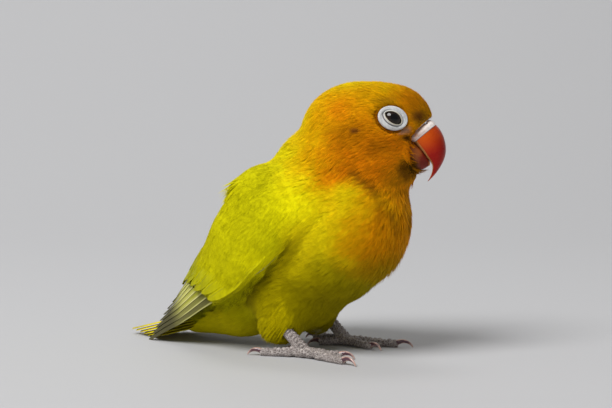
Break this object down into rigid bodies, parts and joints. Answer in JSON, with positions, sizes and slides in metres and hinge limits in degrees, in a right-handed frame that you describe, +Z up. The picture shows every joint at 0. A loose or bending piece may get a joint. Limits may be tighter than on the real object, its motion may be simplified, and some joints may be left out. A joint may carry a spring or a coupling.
{
  "type": "eye-ring lovebird",
  "caption": "Still, life-size small parrot standing with its wings folded and its head turned to its left.",
  "frame": {"origin": "on the floor that the toes stand on, under the middle of the bird's box", "axes": "+X forward along the body from tail to breast, +Y to the bird's left, +Z up"},
  "size_m": [0.1088, 0.0516, 0.0843],
  "materials": {
    "head_plumage": "soft feathers, orange over yellow",
    "body_plumage": "soft feathers, yellow",
    "wing_plumage": "smooth flight feathers, yellow with pale tips",
    "bill": "polished horn, coral red",
    "bare_skin": "bare wrinkled skin, white",
    "eye": "wet, dark brown",
    "foot": "scaly skin, pinkish grey",
    "claw": "translucent horn, pinkish brown"
  },
  "bodies": {
    "root": {"head": "head_plumage", "neck": "head_plumage", "torso": "body_plumage", "thigh_left": "body_plumage", "thigh_right": "body_plumage", "wing_left": "wing_plumage", "wing_right": "wing_plumage", "tail": "wing_plumage", "bill_upper": "bill", "bill_lower": "bill", "cere": "bare_skin", "eye_ring_left": "bare_skin", "eye_ring_right": "bare_skin", "eye_left": "eye", "eye_right": "eye", "foot_left": "foot", "foot_right": "foot", "claw_outer_front_left": "claw", "claw_inner_front_left": "claw", "claw_outer_rear_left": "claw", "claw_inner_rear_left": "claw", "claw_outer_front_right": "claw", "claw_inner_front_right": "claw", "claw_outer_rear_right": "claw", "claw_inner_rear_right": "claw"}
  },
  "joints": []
}
